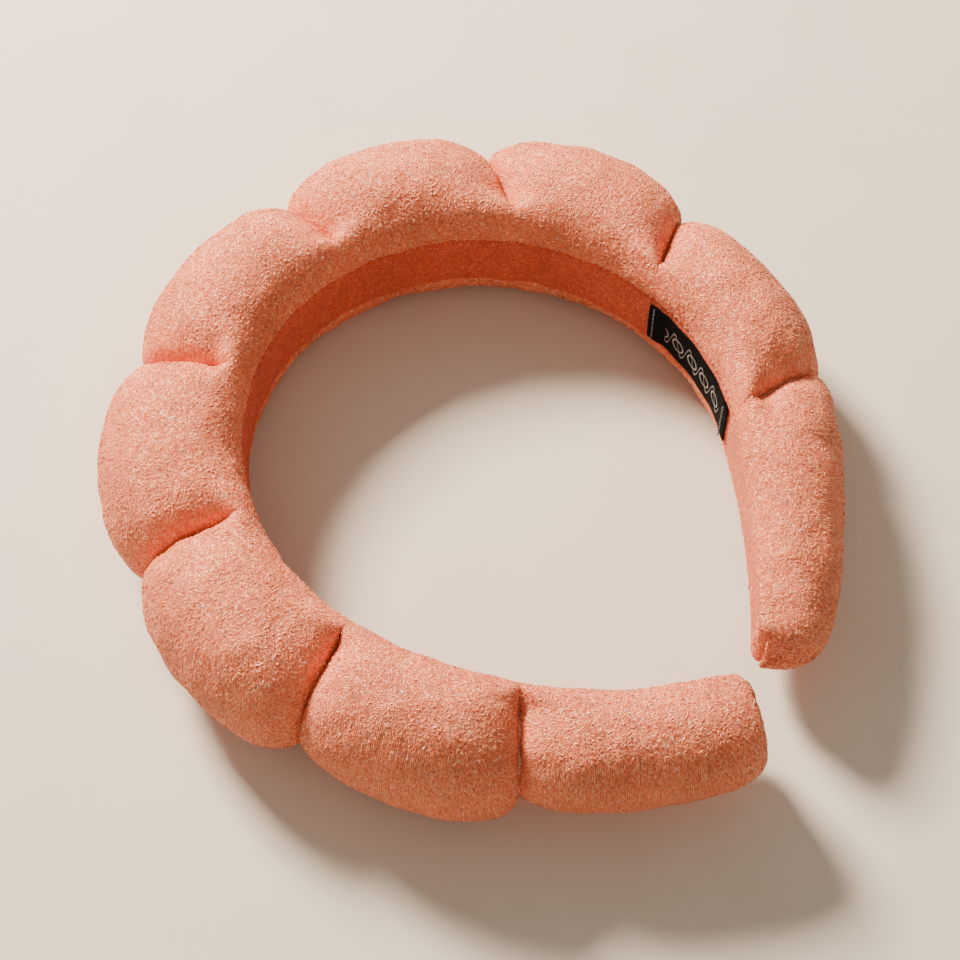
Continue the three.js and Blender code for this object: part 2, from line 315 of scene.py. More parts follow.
def grid_mesh(name, rings, closed, fold=None, covered=None):
    """A smooth sheet through rings of points (millimetres), with a map to bake through and a map
    laid out in metres of cloth."""
    rows, cols = rings.shape[:2]
    wide = cols if closed else cols - 1
    a = np.arange(rows - 1)[:, None] * cols + np.arange(wide)[None, :]
    b = np.arange(rows - 1)[:, None] * cols + (np.arange(wide)[None, :] + 1) % cols
    faces = np.stack([a, b, b + cols, a + cols], axis=-1).reshape(-1, 4)
    mesh = bpy.data.meshes.new(name)
    mesh.from_pydata((rings.reshape(-1, 3) * MM).tolist(), [], faces.tolist())
    loop = np.concatenate([rings, rings[:, :1]], axis=1) if closed else rings
    across = np.linalg.norm(np.diff(loop, axis=1), axis=-1)
    across = np.concatenate([[0], np.cumsum(across.mean(axis=0))])
    along = np.linalg.norm(np.diff(rings, axis=0), axis=-1)
    along = np.concatenate([[0], np.cumsum(along.mean(axis=1))])
    r, c = np.divmod(np.arange((rows - 1) * wide), wide)
    u = np.stack([across[c], across[c + 1], across[c + 1], across[c]], axis=-1)
    v = np.stack([along[r], along[r], along[r + 1], along[r + 1]], axis=-1)
    baked = mesh.uv_layers.new(name="OFBake")
    spread = np.stack([0.01 + 0.98 * u / across[-1], 0.01 + 0.98 * v / along[-1]], axis=-1)
    baked.data.foreach_set("uv", spread.reshape(-1).astype(np.float32))
    cloth = mesh.uv_layers.new(name="cloth")
    cloth.data.foreach_set("uv", (np.stack([u, v], axis=-1) * MM).reshape(-1).astype(np.float32))
    mesh.uv_layers.active = baked
    if fold is not None:
        near = mesh.attributes.new("near_fold", "FLOAT", "POINT")
        near.data.foreach_set("value", np.repeat(fold, cols).astype(np.float32))
    if covered is not None:
        under = mesh.attributes.new("behind_lining", "FLOAT", "POINT")
        under.data.foreach_set("value", covered.reshape(-1).astype(np.float32))
    mesh.polygons.foreach_set("use_smooth", np.ones(len(mesh.polygons), bool))
    mesh.update()
    return mesh


def add_piece(name, mesh, material):
    mesh.materials.clear()
    mesh.materials.append(material)
    piece = bpy.data.objects.new(name, mesh)
    bpy.context.scene.collection.objects.link(piece)
    return piece


def points_of(mesh):
    found = np.empty(len(mesh.vertices) * 3, np.float32)
    mesh.vertices.foreach_get("co", found)
    return found.reshape(-1, 3).astype(float)


def keep_result(piece):
    """Replaces a piece's mesh by what its modifiers make of it, and drops them."""
    depsgraph = bpy.context.evaluated_depsgraph_get()
    made = bpy.data.meshes.new_from_object(piece.evaluated_get(depsgraph), depsgraph=depsgraph)
    old = piece.data
    piece.modifiers.clear()
    piece.data = made
    bpy.data.meshes.remove(old)
    made.name = piece.name


def follow(piece, i):
    """A piece of the crown moves with the crown; a piece of any other puff only has its placement baked
    into its points, and the hinge line at its crease nearer the crown is worked out but not used.
    """
    if i == CROWN:
        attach(piece, "crown")
        return
    side = 1 if i > CROWN else -1
    crease = i - 1 if side > 0 else i
    distance = ARCS[i]["low"] if side > 0 else ARCS[i]["high"]
    face = end_face(crease)
    depth = CREASES[crease][1]
    inner, outer = (place(i, distance, face(u), u, 0.0) for u in (HINGE_DEPTH, depth))
    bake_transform(piece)


# ---- Stuffing the velour ---------------------------------------------------------------------

def stuff(piece, held):
    """Lets the stuffing press the velour out against its ties, by cloth simulation."""
    before = points_of(piece.data)
    piece.scale = (SIM_SCALE,) * 3
    bpy.context.view_layer.update()
    piece.data.transform(piece.matrix_world)
    piece.scale = (1, 1, 1)
    group = piece.vertex_groups.new(name="sewn and tied")
    for index, weight in enumerate(held):
        if weight > 0:
            group.add([index], float(weight), "REPLACE")
    cloth = piece.modifiers.new("velour", "CLOTH")
    settings = cloth.settings
    settings.quality = 6
    settings.mass = 0.12
    settings.tension_stiffness = 22
    settings.compression_stiffness = 22
    settings.shear_stiffness = 8
    settings.bending_stiffness = 0.8
    settings.vertex_group_mass = "sewn and tied"
    settings.use_pressure = True
    settings.uniform_pressure_force = 3.0
    settings.shrink_min = 0.0
    settings.effector_weights.gravity = 0
    cloth.point_cache.frame_start = 1
    cloth.point_cache.frame_end = SIM_FRAMES
    scene = bpy.context.scene
    for frame in range(1, SIM_FRAMES + 1):
        scene.frame_set(frame)
    keep_result(piece)
    scene.frame_set(1)
    piece.vertex_groups.clear()
    after = points_of(piece.data) / SIM_SCALE
    move = after - before
    size = np.linalg.norm(move, axis=1)
    limit = SIM_CAP * MM
    share = limit * np.tanh(size / limit) / np.maximum(size, 1e-12)
    kept = before + move * share[:, None]
    kept[:, 2] = np.maximum(kept[:, 2], 0)
    piece.data.vertices.foreach_set("co", kept.reshape(-1).astype(np.float32))
    piece.data.update()


def refine(piece, levels, lumps):
    """Rounds the sheet, gives it slight lumps and lifts whatever fell below the table."""
    rounder = piece.modifiers.new("rounded", "SUBSURF")
    rounder.levels = rounder.render_levels = levels
    for name, size, strength in lumps:
        bump = piece.modifiers.new(name, "DISPLACE")
        texture = bpy.data.textures.get(name) or bpy.data.textures.new(name, "CLOUDS")
        texture.noise_scale = size * MM
        texture.noise_depth = 1
        bump.texture = texture
        bump.texture_coords = "LOCAL"
        bump.strength = strength * MM
        bump.mid_level = 0.5
    keep_result(piece)
    points = points_of(piece.data)
    points[:, 2] = np.maximum(points[:, 2], 0)
    piece.data.vertices.foreach_set("co", points.reshape(-1).astype(np.float32))
    piece.data.polygons.foreach_set("use_smooth", np.ones(len(piece.data.polygons), bool))
    piece.data.update()


# ---- Pieces ----------------------------------------------------------------------------------

def make_puff(i, material):
    name = NAMES[i]
    rings, fold = skin_grid(i)
    tied_low, tied_high = i > 0, i < LAST
    if not tied_low:
        rings, fold = close_tip(rings, fold, -1)
    if not tied_high:
        rings, fold = close_tip(rings, fold, 1)
    covered = np.zeros(rings.shape[:2])
    covered[:, SKIN_ROUND - BEHIND_CELLS + 1:] = 1
    if not tied_low:
        covered[:BARE_ROWS] = 0
    if not tied_high:
        covered[-BARE_ROWS:] = 0
    mesh = grid_mesh(f"velour_{name}", rings, True, fold, covered)
    piece = add_piece(f"velour_{name}", mesh, material)
    held = np.zeros(rings.shape[:2])
    held[:, 1 - BEHIND_CELLS:] = 1
    held[:, :2] = held[:, SKIN_ROUND - BEHIND_CELLS - 1:SKIN_ROUND - BEHIND_CELLS + 1] = 1
    if tied_low:
        held[:2] = 1
    if tied_high:
        held[-2:] = 1
    if not tied_low:
        held[:TIP_HELD_ROWS] = np.maximum(held[:TIP_HELD_ROWS], TIP_HOLD)
    if not tied_high:
        held[-TIP_HELD_ROWS:] = np.maximum(held[-TIP_HELD_ROWS:], TIP_HOLD)
    stuff(piece, held.reshape(-1))
    refine(piece, 2, [("stuffing lumps", 9.0, 1.1)])
    nodes = [f"cover_{name}"]
    if name == "left_4":
        nodes.append("end_fold_left")
    if name == "right_4":
        nodes.append("end_fold_right")
    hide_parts(*nodes)
    lay_pile(f"pile_{name}", piece, i, pile_material)
    follow(piece, i)
    return piece


# ---- Pile ------------------------------------------------------------------------------------

def unit(vectors):
    return vectors / np.maximum(np.linalg.norm(vectors, axis=-1, keepdims=True), 1e-9)


def face_values(mesh, name):
    """A point attribute, averaged over each face, or 0 where the sheet has none."""
    if name not in mesh.attributes:
        return np.zeros(len(mesh.polygons))
    values = np.empty(len(mesh.vertices), np.float32)
    mesh.attributes[name].data.foreach_get("value", values)
    corners = np.empty(len(mesh.loops), np.int32)
    mesh.loops.foreach_get("vertex_index", corners)
    return values[corners].reshape(-1, 4).mean(axis=1)


def face_facts(mesh):
    count = len(mesh.polygons)
    centre, normal, area = np.empty(count * 3, np.float32), np.empty(count * 3, np.float32), \
        np.empty(count, np.float32)
    mesh.polygons.foreach_get("center", centre)
    mesh.polygons.foreach_get("normal", normal)
    mesh.polygons.foreach_get("area", area)
    return centre.reshape(-1, 3) / MM, normal.reshape(-1, 3).astype(float), area.astype(float)


def strand_lines(mesh, i, rng, density, size):
    """The middle line and the across direction of every crushed strand on a puff."""
    centre, normal, area = face_facts(mesh)
    weight = area * (face_values(mesh, "behind_lining") < 0.3)
    count = int(weight.sum() / MM ** 2 * density)
    chosen = rng.choice(len(weight), count, p=weight / weight.sum())
    fold = face_values(mesh, "near_fold")[chosen]
    base, up = centre[chosen].astype(float), unit(normal[chosen])
    x, y, heading = ARCS[i]["start"]
    hub = np.array([x + SHIFT[0] - math.sin(heading) * ARCS[i]["bend"],
                    y + SHIFT[1] - math.cos(heading) * ARCS[i]["bend"], 0.0])
    spoke = unit((base - hub) * [1, 1, 0])
    along = np.stack([spoke[:, 1], -spoke[:, 0], np.zeros(count)], axis=-1)
    steep = smooth((up * spoke).sum(axis=1), 0.25, 0.8)
    wild = unit(np.cross(up, rng.normal(size=(count, 3))))
    comb = along * (fold * 2.6 * rng.choice([-1, 1], count))[:, None]
    comb += np.array([0, 0, 1.0]) * (steep * (1 - fold) * 3.6)[:, None]
    ahead = wild + comb
    ahead = unit(ahead - up * (ahead * up).sum(axis=1, keepdims=True))
    side = np.cross(up, ahead)
    length = rng.uniform(*STRAND_LENGTH, count) * size
    curl = rng.normal(0, 0.65, count) * (1 - 0.6 * fold)
    swing = rng.normal(0, 0.55, count)
    rise = rng.uniform(0.06, 0.3, count)
    share = np.linspace(-1, 1, STRAND_ROWS)[None, :]
    run = length[:, None] / 2 * share
    step = curl[:, None] * run ** 2 / 2 + swing[:, None] * run ** 3 / 3
    lift = rise[:, None] * (1 - share ** 2) - 0.06
    line = base[:, None] + ahead[:, None] * run[..., None] + side[:, None] * step[..., None] \
        + up[:, None] * lift[..., None]
    forward = unit(np.gradient(line, axis=1))
    across = unit(np.cross(up[:, None], forward))
    tilt = rng.uniform(-0.6, 0.6, count)[:, None, None]
    return line, across * np.cos(tilt) + up[:, None] * np.sin(tilt)


def lay_pile(name, skin, i, material, density=PILE_DENSITY, size=1.0):
    """The velour's crushed pile: short curled strands that lie on the cloth in all directions, run
    straight into the creases and stand in faint ribs on the outside of the band."""
    rng = np.random.default_rng(900 + i)
    line, across = strand_lines(skin.data, i, rng, density, size)
    count = len(line)
    width = STRAND_HALF_WIDTH * rng.uniform(0.75, 1.25, (count, 1, 1))
    width = width * (1 - 0.45 * np.linspace(-1, 1, STRAND_ROWS)[None, :, None] ** 4)
    points = np.stack([line - across * width, line + across * width], axis=2)
    points[..., 2] = np.maximum(points[..., 2], 0.02)
    block = STRAND_ROWS * 2
    corner = np.arange(STRAND_ROWS - 1) * 2
    quad = np.stack([corner, corner + 1, corner + 3, corner + 2], axis=-1)
    faces = (np.arange(count)[:, None, None] * block + quad[None]).reshape(-1, 4)
    mesh = bpy.data.meshes.new(name)
    mesh.vertices.add(count * block)
    mesh.vertices.foreach_set("co", (points.reshape(-1) * MM).astype(np.float32))
    mesh.loops.add(faces.size)
    mesh.loops.foreach_set("vertex_index", faces.reshape(-1).astype(np.int32))
    mesh.polygons.add(len(faces))
    mesh.polygons.foreach_set("loop_start", np.arange(0, faces.size, 4, dtype=np.int32))
    mesh.polygons.foreach_set("use_smooth", np.ones(len(faces), bool))
    cells = math.ceil(math.sqrt(count))
    cell_row, cell_col = np.divmod(np.arange(count), cells)
    local_row, local_col = np.divmod(np.arange(block), 2)
    u = (cell_col[:, None] + 0.15 + 0.7 * local_col[None]) / cells
    v = (cell_row[:, None] + 0.1 + 0.8 * local_row[None] / (STRAND_ROWS - 1)) / cells
    shade_of = rng.random(count)
    facts = np.stack([np.repeat(shade_of, block), np.tile(local_row / (STRAND_ROWS - 1), count)], -1)
    spots = np.stack([u.reshape(-1), v.reshape(-1)], -1)
    for layer_name, values in (("OFBake", spots), ("strand", facts)):
        layer = mesh.uv_layers.new(name=layer_name)
        layer.data.foreach_set("uv", values[faces.reshape(-1)].reshape(-1).astype(np.float32))
    mesh.uv_layers.active = mesh.uv_layers["OFBake"]
    mesh.update(calc_edges=True)
    piece = add_piece(name, mesh, material)
    follow(piece, i)


def lining_reach(i):
    """How far along its arc the lining of puff i runs, with its end stopping short of a tip."""
    arc = ARCS[i]
    low = arc["low"] + (LINING_STOP if i == 0 else 0)
    high = arc["high"] - (LINING_STOP if i == LAST else 0)
    return low, high


def lining_half(i, t):
    _, _, _, _, half, taper = PUFFS[i]
    outwards = 1 - t if i < CROWN else t
    return min(LINING_HALF, half * (1 - taper * outwards) * FACE_SHARE) + 0.3


def lining_rings(i, rows, columns):
    """The lining's strip: nearly flat, with its edges rolled back to the velour."""
    low, high = lining_reach(i)
    arc = ARCS[i]
    across = np.linspace(-1, 1, columns)
    rings = []
    for distance in np.linspace(low, high, rows + 1):
        t = (distance - arc["low"]) / (arc["high"] - arc["low"])
        half = lining_half(i, t)
        from_tip = distance - arc["low"] if i == 0 else arc["high"] - distance
        tuck = 1.2 * smooth(LINING_STOP - from_tip, -2.5, 0) if i in (0, LAST) else 0
        roll = 1.0 * np.abs(across) ** 10 + tuck
        up = across * half - LINING_DROP * smooth(-across, 0.5, 1.0)
        rings.append(place(i, distance, 0.0, roll - 0.35 * (1 - across ** 4), up))
    return np.array(rings)


def make_lining(i, material):
    name = NAMES[i]
    piece = add_piece(f"lining_strip_{name}", grid_mesh(f"lining_strip_{name}",
                      lining_rings(i, 22, 13), False), material)
    refine(piece, 2, [("lining waves", 7.0, 0.45), ("lining nap", 1.3, 0.22)])
    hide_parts(f"lining_{name}")
    arm_end = i in (0, LAST)
    lay_pile(f"lining_pile_{name}", piece, i, pile_material if arm_end else lining_pile,
             LINING_PILE_DENSITY, LINING_STRAND_SIZE)
    follow(piece, i)
    return piece


def tube(path, radius, sides=6):
    """A thin tube through a row of points, closed at both ends by narrowing."""
    path = np.asarray(path, float)
    ahead = np.gradient(path, axis=0)
    ahead /= np.linalg.norm(ahead, axis=1, keepdims=True)
    guide = np.array([0.13, 0.21, 0.97])
    side = np.cross(ahead, guide)
    side /= np.linalg.norm(side, axis=1, keepdims=True)
    up = np.cross(side, ahead)
    turn = np.linspace(0, 2 * math.pi, sides, endpoint=False)
    size = np.full(len(path), radius)
    size[[0, -1]] = radius * 0.15
    ring = side[:, None] * np.cos(turn)[None, :, None] + up[:, None] * np.sin(turn)[None, :, None]
    return path[:, None] + ring * size[:, None, None]


def join_meshes(name, meshes, material):
    """One mesh from several, without touching the selection."""
    vertices, faces = [], []
    for rings in meshes:
        rows, cols = rings.shape[:2]
        start = len(vertices)
        vertices.extend((rings.reshape(-1, 3) * MM).tolist())
        for r in range(rows - 1):
            for c in range(cols):
                d = (c + 1) % cols
                faces.append((start + r * cols + c, start + r * cols + d,
                              start + (r + 1) * cols + d, start + (r + 1) * cols + c))
    mesh = bpy.data.meshes.new(name)
    mesh.from_pydata(vertices, [], faces)
    mesh.polygons.foreach_set("use_smooth", np.ones(len(faces), bool))
    mesh.update()
    return add_piece(name, mesh, material)


def make_edge_stitches(i, material):
    """The tiny overcast stitches that hold the lining's two edges to the velour."""
    low, high = lining_reach(i)
    arc = ARCS[i]
    rng = random.Random(40 + i)
    stitches = []
    count = int((high - low) / 2.1)
    for edge in (-1, 1):
        for k in range(count):
            at = low + (k + 0.5) * (high - low) / count + rng.uniform(-0.15, 0.15)
            half = lining_half(i, (at - arc["low"]) / (arc["high"] - arc["low"]))
            slant = 0.55 + rng.uniform(-0.1, 0.1)
            half += LINING_DROP if edge < 0 else 0
            rows = [(-0.8, 0.3), (-0.6, 0.05), (0.0, 0.1), (0.6, 0.5), (0.8, 1.0)]
            path = [place(i, at + slant * v, 0.0, u + 0.15, edge * (half + v)) for v, u in rows]
            stitches.append(tube(path, 0.17 + rng.uniform(-0.02, 0.02), 5))
    piece = join_meshes(f"edge_stitches_{NAMES[i]}", stitches, material)
    follow(piece, i)
    return piece


def make_tie(crease, material):
    """The thread wound round a crease, sunk between its two puffs."""
    side = 1 if crease >= CROWN else -1
    owner = crease if side > 0 else crease + 1
    distance = ARCS[owner]["high"] if side > 0 else ARCS[owner]["low"]
    face = end_face(crease)
    _, depth, half = CREASES[crease]
    degrees = np.linspace(-118, 118, 60)
    turns = []
    for turn, spread in enumerate((-0.55, 0.0, 0.55)):
        outward, up = d_outline(degrees, depth + 0.35, half - TIE_BITE + 0.35)
        wobble = 0.12 * np.sin(np.radians(degrees) * (5 + turn))
        path = place(owner, distance, face(outward) + spread + wobble, outward, up)
        turns.append(tube(path, 0.38, 6))
    name = tie_name(crease)
    piece = join_meshes(f"{name}_turns", turns, material)
    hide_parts(name)
    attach(piece, NAMES[owner])
    return piece


def tie_name(crease):
    owner = NAMES[crease] if crease >= CROWN else NAMES[crease + 1]
    if owner == "crown":
        owner += "_left" if crease < CROWN else "_right"
    return f"tie_thread_{owner}"


def label_rings():
    """The woven tape: its two ends are folded under, which makes them thicker."""
    i = NAMES.index(LABEL_PUFF)
    middle = (ARCS[i]["low"] + ARCS[i]["high"]) / 2
    across = np.linspace(-1, 1, 15)
    rings = []
    stations = np.linspace(-LABEL_LENGTH / 2, LABEL_LENGTH / 2, 41)
    for distance in stations:
        near_end = LABEL_LENGTH / 2 - abs(distance)
        lift = 0.55 * smooth(near_end, 4.6, 3.6) + 0.12 * math.sin(distance * 0.55)
        rings.append(place(i, middle + distance, 0.0, -0.75 - lift + 0.25 * across ** 6,
                           across * LABEL_WIDTH / 2))
    first, last = rings[0].copy(), rings[-1].copy()
    out = place(i, middle, 0.0, 1.0, 0.0) - place(i, middle, 0.0, 0.0, 0.0)
    under = [(0.25, 0.35), (0.0, 0.75), (-1.2, 0.8), (-3.6, 0.8)]
    step_a = rings[0].mean(axis=0) - rings[1].mean(axis=0)
    step_b = rings[-1].mean(axis=0) - rings[-2].mean(axis=0)
    step_a, step_b = (s / np.linalg.norm(s) for s in (step_a, step_b))
    head = [first + step_a * a + out * b for a, b in under][::-1]
    tail = [last + step_b * a + out * b for a, b in under]
    return np.array(head + rings + tail)


def make_label(material):
    piece = add_piece("woven_label", grid_mesh("woven_label", label_rings(), False), material)
    thick = piece.modifiers.new("tape", "SOLIDIFY")
    thick.thickness = 0.3 * MM
    thick.offset = 1
    rounder = piece.modifiers.new("rounded", "SUBSURF")
    rounder.levels = rounder.render_levels = 1
    keep_result(piece)
    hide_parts("label")
    follow(piece, NAMES.index(LABEL_PUFF))
    return piece


def make_label_stitches(side, node, material):
    """A row of small stitches across one end of the label."""
    i = NAMES.index(LABEL_PUFF)
    middle = (ARCS[i]["low"] + ARCS[i]["high"]) / 2
    at = middle + side * (LABEL_LENGTH / 2 - 1.9)
    stitches = []
    count = 8
    for k in range(count):
        centre = (k + 0.5) / count * LABEL_WIDTH - LABEL_WIDTH / 2
        reach = LABEL_WIDTH / count * 0.36
        rows = [(-1, 0.1), (-0.8, -0.28), (0, -0.38), (0.8, -0.28), (1, 0.1)]
        path = [place(i, at, 0.0, -1.3 + u, centre + v * reach) for v, u in rows]
        stitches.append(tube(path, 0.17, 5))
    piece = join_meshes(f"{node}_thread", stitches, material)
    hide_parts(node)
    follow(piece, i)
    return piece


# ---- Materials -------------------------------------------------------------------------------

def shade(tree, kind, settings=None, **sockets):
    """Adds a node. A socket value is a number, a colour, or another node's output."""
    node = tree.nodes.new(kind)
    for key, value in (settings or {}).items():
        setattr(node, key, value)
    for key, value in sockets.items():
        socket = node.inputs[int(key[1:])] if key[0] == "i" and key[1:].isdigit() else \
            node.inputs[key.replace("_", " ")]
        if isinstance(value, bpy.types.NodeSocket):
            tree.links.new(value, socket)
        else:
            socket.default_value = value
    return node


def maths(tree, operation, a, b=0.5, c=0.5, clamp=False):
    settings = {"operation": operation, "use_clamp": clamp}
    return shade(tree, "ShaderNodeMath", settings, i0=a, i1=b, i2=c).outputs[0]


def vector(tree, operation, a, b=(0, 0, 0)):
    node = shade(tree, "ShaderNodeVectorMath", {"operation": operation}, i0=a)
    if operation == "SCALE":
        if isinstance(b, bpy.types.NodeSocket):
            tree.links.new(b, node.inputs["Scale"])
        else:
            node.inputs["Scale"].default_value = b
    elif isinstance(b, bpy.types.NodeSocket):
        tree.links.new(b, node.inputs[1])
    else:
        node.inputs[1].default_value = b
    return node.outputs[0]


def noise(tree, place_, scale, detail=0.0, rough=0.5, flat=True):
    settings = {"noise_dimensions": "2D" if flat else "3D"}
    return shade(tree, "ShaderNodeTexNoise", settings, Vector=place_, Scale=scale, Detail=detail,
                 Roughness=rough)


def ramp(tree, value, stops):
    node = tree.nodes.new("ShaderNodeValToRGB")
    tree.links.new(value, node.inputs[0])
    elements = node.color_ramp.elements
    while len(elements) < len(stops):
        elements.new(0.5)
    for element, (at, colour) in zip(elements, stops):
        element.position = at
        element.color = (*colour, 1) if len(colour) == 3 else colour
    return node.outputs[0]


def mix_colour(tree, share, a, b, blend="MIX"):
    node = tree.nodes.new("ShaderNodeMix")
    node.data_type = "RGBA"
    node.blend_type = blend
    for socket, value in ((node.inputs["Factor"], share), (node.inputs[6], a), (node.inputs[7], b)):
        if isinstance(value, bpy.types.NodeSocket):
            tree.links.new(value, socket)
        else:
            socket.default_value = (*value, 1) if isinstance(value, tuple) else value
    return node.outputs[2]


def new_material(name):
    material = bpy.data.materials.new(name)
    material.use_nodes = True
    tree = material.node_tree
    tree.nodes.clear()
    surface = tree.nodes.new("ShaderNodeBsdfPrincipled")
    output = tree.nodes.new("ShaderNodeOutputMaterial")
    tree.links.new(surface.outputs[0], output.inputs[0])
    return material, tree, surface


def worms(tree, place_, scale, width):
    """Thin wandering lines, 1 in the middle of each."""
    value = noise(tree, place_, scale).outputs[0]
    off = maths(tree, "ABSOLUTE", maths(tree, "SUBTRACT", value, 0.5))
    return maths(tree, "SUBTRACT", 1.0, maths(tree, "DIVIDE", off, width), clamp=True)


def pile_group():
    """Short crushed pile: Height of the strands, and Sparkle where a few of them catch the light.
    Cloth is a place on the fabric in metres, and Lie combs the strands along the tube."""
    group = bpy.data.node_groups.new("velour pile", "ShaderNodeTree")
    face = group.interface
    face.new_socket("Cloth", in_out="INPUT", socket_type="NodeSocketVector")
    face.new_socket("Lie", in_out="INPUT", socket_type="NodeSocketFloat")
    face.new_socket("Height", in_out="OUTPUT", socket_type="NodeSocketFloat")
    face.new_socket("Sparkle", in_out="OUTPUT", socket_type="NodeSocketFloat")
    given = group.nodes.new("NodeGroupInput")
    result = group.nodes.new("NodeGroupOutput")
    flat = vector(group, "SCALE", given.outputs["Cloth"], 1000.0)
    sway = vector(group, "SUBTRACT", noise(group, flat, 0.5, 1.0).outputs[1], (0.5, 0.5, 0.5))
    swayed = vector(group, "ADD", flat, vector(group, "SCALE", sway, 3.2))
    curls = maths(group, "MAXIMUM", worms(group, swayed, 1.35, 0.10),
                  worms(group, vector(group, "ADD", swayed, (31.0, 17.0, 0.0)), 1.5, 0.10))
    curls = maths(group, "MAXIMUM", curls,
                  worms(group, vector(group, "ADD", swayed, (7.0, 71.0, 0.0)), 1.7, 0.09))
    combed = vector(group, "MULTIPLY", vector(group, "ADD", flat, vector(group, "SCALE", sway, 1.4)),
                    (1.7, 0.45, 1.0))
    combs = maths(group, "MAXIMUM", worms(group, combed, 1.0, 0.12),
                  worms(group, vector(group, "ADD", combed, (13.0, 29.0, 0.0)), 1.0, 0.12))
    lie = given.outputs["Lie"]
    strands = maths(group, "ADD", maths(group, "MULTIPLY", curls, maths(group, "SUBTRACT", 1.0, lie)),
                    maths(group, "MULTIPLY", combs, lie))
    broken = noise(group, flat, 1.3, 0.0).outputs[0]
    lit = maths(group, "MULTIPLY", strands, maths(group, "MULTIPLY_ADD", broken, 2.6, -0.75, clamp=True))
    grain = noise(group, flat, 3.2, 1.0).outputs[0]
    height = maths(group, "MULTIPLY_ADD", grain, 0.35, maths(group, "MULTIPLY", strands, 0.65))
    group.links.new(height, result.inputs["Height"])
    group.links.new(lit, result.inputs["Sparkle"])
    return group


def velour(name, pile, deep, body, tip, sheen, depth):
    """Velour of one dye lot in its body colour, with painted shade deep between the strands and a painted
    highlight at the tip where they shine.
    """
    material, tree, surface = new_material(name)
    cloth = shade(tree, "ShaderNodeUVMap", {"uv_map": "cloth"}).outputs[0]
    fold = shade(tree, "ShaderNodeAttribute", {"attribute_name": "near_fold"}).outputs["Fac"]
    strands = tree.nodes.new("ShaderNodeGroup")
    strands.node_tree = pile
    tree.links.new(cloth, strands.inputs["Cloth"])
    tree.links.new(fold, strands.inputs["Lie"])
    height = strands.outputs["Height"]
    # painted shade in the gaps between strands (low Height), the body colour on them, and a painted
    # highlight on their tips
    base = ramp(tree, height, [(0.12, deep), (0.45, body), (0.85, tip)])
    whole = shade(tree, "ShaderNodeTexCoord").outputs["Object"]
    brushed = noise(tree, whole, 70.0, 2.0, flat=False).outputs[0]
    shadeful = ramp(tree, brushed, [(0.35, (0.86, 0.82, 0.80)), (0.65, (1.0, 1.0, 1.0))])
    base = mix_colour(tree, 1.0, base, shadeful, "MULTIPLY")
    # painted glints: where a few strands catch the light, the colour is mixed towards the painted tip
    # highlight
    spark = maths(tree, "MULTIPLY", strands.outputs["Sparkle"], 0.55)
    base = mix_colour(tree, spark, base, tip)
    tree.links.new(base, surface.inputs["Base Color"])
    bump = shade(tree, "ShaderNodeBump", None, Strength=1.0, Distance=depth * MM, Height=height)
    tree.links.new(bump.outputs[0], surface.inputs["Normal"])
    rough = maths(tree, "MULTIPLY_ADD", strands.outputs["Sparkle"], -0.35, 0.85)
    tree.links.new(rough, surface.inputs["Roughness"])
    surface.inputs["Sheen Weight"].default_value = sheen
    surface.inputs["Sheen Roughness"].default_value = 0.4
    surface.inputs["Sheen Tint"].default_value = (1.0, 0.55, 0.4, 1)
    surface.inputs["Specular IOR Level"].default_value = 0.35
    return material


def strand_material(name, dark, body, pale, brightest):
    """Single strands of the pile: each its own tone, with painted shade darkening both ends where they
    dip into the cloth, which leaves them paler on their arched backs. The few brightest strands are
    partly their own paler tone and partly painted glints.
    """
    material, tree, surface = new_material(name)
    part = shade(tree, "ShaderNodeSeparateXYZ", None,
                 Vector=shade(tree, "ShaderNodeUVMap", {"uv_map": "strand"}).outputs[0])
    own, along = part.outputs[0], part.outputs[1]
    # the brightest stop on the last few strands is partly their own paler tone and partly painted glints
    base = ramp(tree, own, [(0.0, dark), (0.5, body), (0.9, pale), (1.0, brightest)])
    # painted shade: a strand's two ends, where it dips into the cloth, are darkened, and its raised
    # middle is left as it is
    off_middle = maths(tree, "ABSOLUTE", maths(tree, "MULTIPLY_ADD", along, 2.0, -1.0))
    middle = maths(tree, "SUBTRACT", 1.0, off_middle)
    root = ramp(tree, middle, [(0.0, (0.80, 0.66, 0.58)), (0.6, (1.0, 1.0, 1.0))])
    base = mix_colour(tree, 1.0, base, root, "MULTIPLY")
    whole = shade(tree, "ShaderNodeTexCoord").outputs["Object"]
    brushed = noise(tree, whole, 70.0, 2.0, flat=False).outputs[0]
    patch = ramp(tree, brushed, [(0.35, (0.86, 0.80, 0.77)), (0.65, (1.0, 1.0, 1.0))])
    tree.links.new(mix_colour(tree, 1.0, base, patch, "MULTIPLY"), surface.inputs["Base Color"])
    surface.inputs["Roughness"].default_value = 0.42
    surface.inputs["Sheen Weight"].default_value = 0.6
    surface.inputs["Sheen Roughness"].default_value = 0.4
    surface.inputs["Sheen Tint"].default_value = (1.0, 0.56, 0.34, 1)
    surface.inputs["Specular IOR Level"].default_value = 0.6
    surface.inputs["Specular Tint"].default_value = (1.0, 0.72, 0.5, 1)
    return material


def thread_material(name, dark, light):
    """Twisted sewing thread."""
    material, tree, surface = new_material(name)
    whole = shade(tree, "ShaderNodeTexCoord").outputs["Object"]
    twist = shade(tree, "ShaderNodeTexWave", {"bands_direction": "DIAGONAL"}, Vector=whole, Scale=420.0,
                  Distortion=1.5)
    tree.links.new(ramp(tree, twist.outputs["Fac"], [(0.2, dark), (0.8, light)]),
                   surface.inputs["Base Color"])
    bump = shade(tree, "ShaderNodeBump", None, Strength=0.6, Distance=0.08 * MM,
                 Height=twist.outputs["Fac"])
    tree.links.new(bump.outputs[0], surface.inputs["Normal"])
    surface.inputs["Roughness"].default_value = 0.6
    surface.inputs["Sheen Weight"].default_value = 0.4
    return material


